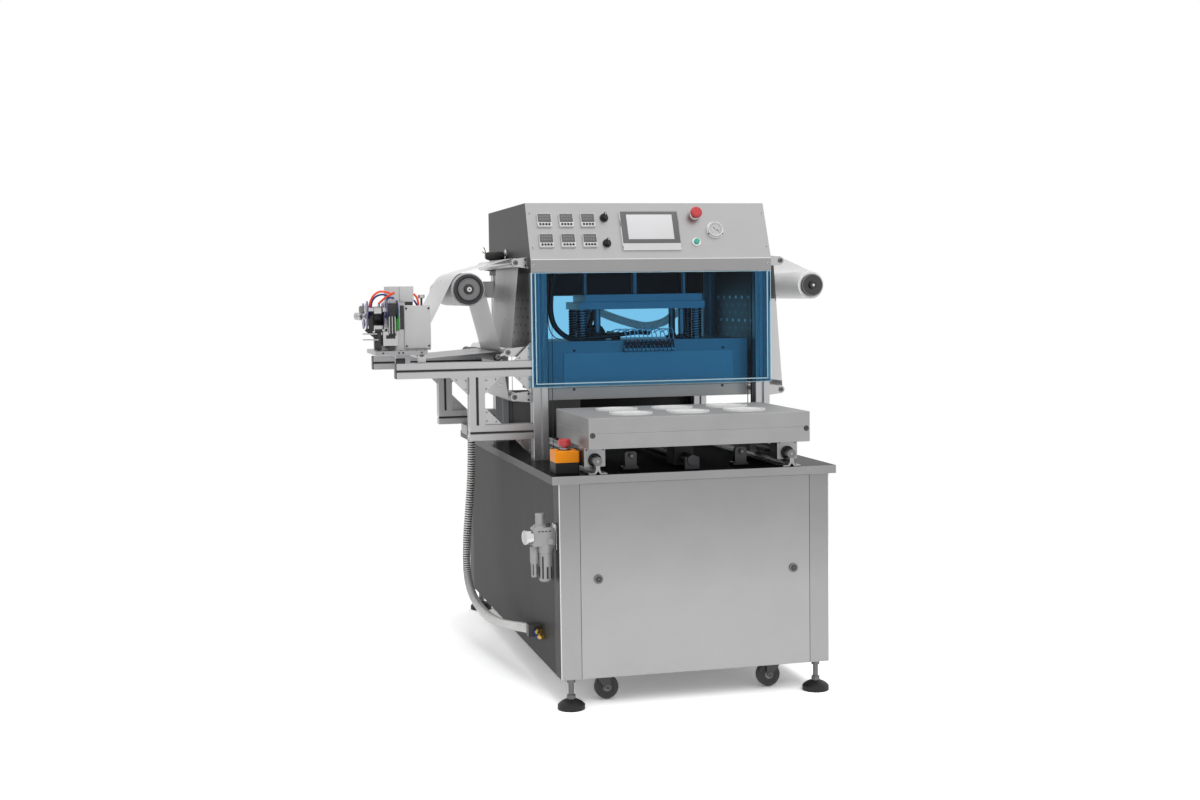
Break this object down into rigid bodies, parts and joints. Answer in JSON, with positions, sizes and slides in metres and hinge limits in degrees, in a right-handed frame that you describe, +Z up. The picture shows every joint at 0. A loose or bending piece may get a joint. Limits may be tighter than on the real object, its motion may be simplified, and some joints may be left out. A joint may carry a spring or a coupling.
{
  "type": "vacuum tray sealer",
  "caption": "Floor-standing vacuum tray sealing machine with a sliding mould for round cups, a film feed, a date coder on the left and a rewinding reel on the right.",
  "frame": {"origin": "on the floor, below the middle of the machine's bounding box", "axes": "+X to the operator's right, +Y to the back, +Z up"},
  "size_m": [1.607, 1.757, 1.563],
  "materials": {
    "stainless": "brushed",
    "dark_cabinet": "satin",
    "light_panel": "satin",
    "profile": "satin",
    "aluminium": "machined",
    "chrome": "polished",
    "black_plastic": "matte",
    "rubber": "matte",
    "grey_plastic": "satin",
    "blue_acrylic": "gloss",
    "red_plastic": "gloss",
    "green_plastic": "gloss",
    "yellow_plastic": "satin",
    "film": "gloss",
    "cup_plastic": "gloss",
    "dark_sheet": "satin",
    "ribbon": "gloss"
  },
  "bodies": {
    "machine": {"cabinet_body": "dark_cabinet", "front_panel": "light_panel", "rear_and_side_panels": "dark_cabinet", "worktop": "stainless", "levelling_feet": "rubber", "caster_plates": "stainless", "rear_casters": "rubber", "columns": "profile", "hood": "dark_cabinet", "control_panel": "light_panel", "head_plate": "aluminium", "front_guard": "blue_acrylic", "temperature_controllers": "black_plastic", "touch_screen": "black_plastic", "button_rings": "chrome", "vacuum_gauge": "chrome", "side_grilles": "light_panel", "rear_screen": "dark_sheet", "slide_rails": "aluminium", "slide_cylinder": "aluminium", "stop_brackets": "dark_sheet", "worktop_estop_box": "yellow_plastic", "air_unit": "grey_plastic", "conduit": "grey_plastic", "conduit_glands": "black_plastic", "film_frame": "profile", "frame_gussets": "stainless", "roller_brackets": "stainless", "reel_arms": "aluminium", "film_supply": "film", "film_waste": "film", "coder_base": "aluminium", "coder_body": "black_plastic"},
    "tray_carriage": {"carriage": "aluminium", "cups": "cup_plastic", "carriage_bearings": "aluminium"},
    "sealing_head": {"seal_head": "aluminium", "head_cover": "stainless", "terminal_strip": "black_plastic", "crosshead": "aluminium"},
    "film_reel": {"supply_reel": "film"},
    "waste_reel": {"rewind_reel": "film"},
    "panel_mushroom": {"panel_estop": "red_plastic"},
    "worktop_mushroom": {"worktop_estop": "red_plastic"},
    "green_button": {"start_button": "green_plastic"},
    "upper_switch": {"selector_upper": "black_plastic"},
    "lower_switch": {"selector_lower": "black_plastic"},
    "front_ribbon": {"ribbon_spool_front": "ribbon"},
    "rear_ribbon": {"ribbon_spool_rear": "ribbon"},
    "left_swivel": {"caster_fork_left": "stainless"},
    "right_swivel": {"caster_fork_right": "stainless"},
    "left_wheel": {"caster_wheel_left": "rubber"},
    "right_wheel": {"caster_wheel_right": "rubber"},
    "turning_roller_upper_left": {"roller_upper_left": "aluminium"},
    "turning_roller_table": {"roller_table": "aluminium"},
    "turning_roller_coder": {"roller_coder": "aluminium"},
    "turning_roller_entry": {"roller_entry": "aluminium"},
    "turning_roller_nip": {"roller_nip": "rubber"},
    "turning_roller_upper_right": {"roller_upper_right": "aluminium"},
    "turning_roller_exit": {"roller_exit": "aluminium"}
  },
  "joints": [
    {"name": "tray_slide", "type": "slide", "parent": "machine", "child": "tray_carriage", "axis": [0, 1, 0], "range_m": [0, 0.5675]},
    {"name": "head_lift", "type": "slide", "parent": "machine", "child": "sealing_head", "axis": [0, 0, -1], "range_m": [0, 0.012]},
    {"name": "film_reel_turn", "type": "hinge", "parent": "machine", "child": "film_reel", "pos_m": [-0.4365, 0.0985, 1.282], "axis": [0, 1, 0], "continuous": true},
    {"name": "waste_reel_turn", "type": "hinge", "parent": "machine", "child": "waste_reel", "pos_m": [0.7565, 0.0985, 1.282], "axis": [0, 1, 0], "continuous": true},
    {"name": "panel_mushroom_press", "type": "slide", "parent": "machine", "child": "panel_mushroom", "axis": [0, 0.9219, -0.3874], "range_m": [0, 0.004], "stiffness_N_per_m": 900},
    {"name": "worktop_mushroom_press", "type": "slide", "parent": "machine", "child": "worktop_mushroom", "axis": [0, 0, -1], "range_m": [0, 0.004], "stiffness_N_per_m": 900},
    {"name": "green_button_press", "type": "slide", "parent": "machine", "child": "green_button", "axis": [0, 0.9219, -0.3874], "range_m": [0, 0.004], "stiffness_N_per_m": 600},
    {"name": "upper_switch_turn", "type": "hinge", "parent": "machine", "child": "upper_switch", "pos_m": [0.0224, -0.31818, 1.5126], "axis": [0, -0.9219, 0.3874], "range_deg": [-45, 45]},
    {"name": "lower_switch_turn", "type": "hinge", "parent": "machine", "child": "lower_switch", "pos_m": [0.0223, -0.35407, 1.4272], "axis": [0, -0.9219, 0.3874], "range_deg": [-45, 45]},
    {"name": "front_ribbon_turn", "type": "hinge", "parent": "machine", "child": "front_ribbon", "pos_m": [-0.7475, -0.3615, 1.2], "axis": [1, 0, 0], "continuous": true},
    {"name": "rear_ribbon_turn", "type": "hinge", "parent": "machine", "child": "rear_ribbon", "pos_m": [-0.7475, -0.2615, 1.2], "axis": [1, 0, 0], "continuous": true},
    {"name": "roller_upper_left_turn", "type": "hinge", "parent": "machine", "child": "turning_roller_upper_left", "pos_m": [-0.2795, 0.0065, 1.367], "axis": [0, 1, 0], "continuous": true},
    {"name": "roller_table_turn", "type": "hinge", "parent": "machine", "child": "turning_roller_table", "pos_m": [-0.3095, 0.0065, 1.074], "axis": [0, 1, 0], "continuous": true},
    {"name": "roller_coder_turn", "type": "hinge", "parent": "machine", "child": "turning_roller_coder", "pos_m": [-0.5935, 0.0065, 1.074], "axis": [0, 1, 0], "continuous": true},
    {"name": "roller_entry_turn", "type": "hinge", "parent": "machine", "child": "turning_roller_entry", "pos_m": [-0.2895, 0.0065, 0.92565], "axis": [0, 1, 0], "continuous": true},
    {"name": "roller_nip_turn", "type": "hinge", "parent": "machine", "child": "turning_roller_nip", "pos_m": [-0.3425, 0.0065, 1.06], "axis": [0, 1, 0], "continuous": true},
    {"name": "roller_upper_right_turn", "type": "hinge", "parent": "machine", "child": "turning_roller_upper_right", "pos_m": [0.6425, 0.0065, 1.367], "axis": [0, 1, 0], "continuous": true},
    {"name": "roller_exit_turn", "type": "hinge", "parent": "machine", "child": "turning_roller_exit", "pos_m": [0.6425, 0.0065, 0.92565], "axis": [0, 1, 0], "continuous": true},
    {"name": "left_swivel_turn", "type": "hinge", "parent": "machine", "child": "left_swivel", "pos_m": [-0.1145, -0.7175, 0.087], "axis": [0, 0, 1], "continuous": true},
    {"name": "left_wheel_turn", "type": "hinge", "parent": "left_swivel", "child": "left_wheel", "pos_m": [-0.0925, -0.7175, 0.0415], "axis": [0, 1, 0], "continuous": true},
    {"name": "right_swivel_turn", "type": "hinge", "parent": "machine", "child": "right_swivel", "pos_m": [0.4635, -0.7175, 0.087], "axis": [0, 0, 1], "continuous": true},
    {"name": "right_wheel_turn", "type": "hinge", "parent": "right_swivel", "child": "right_wheel", "pos_m": [0.4415, -0.7175, 0.0415], "axis": [0, 1, 0], "continuous": true}
  ]
}
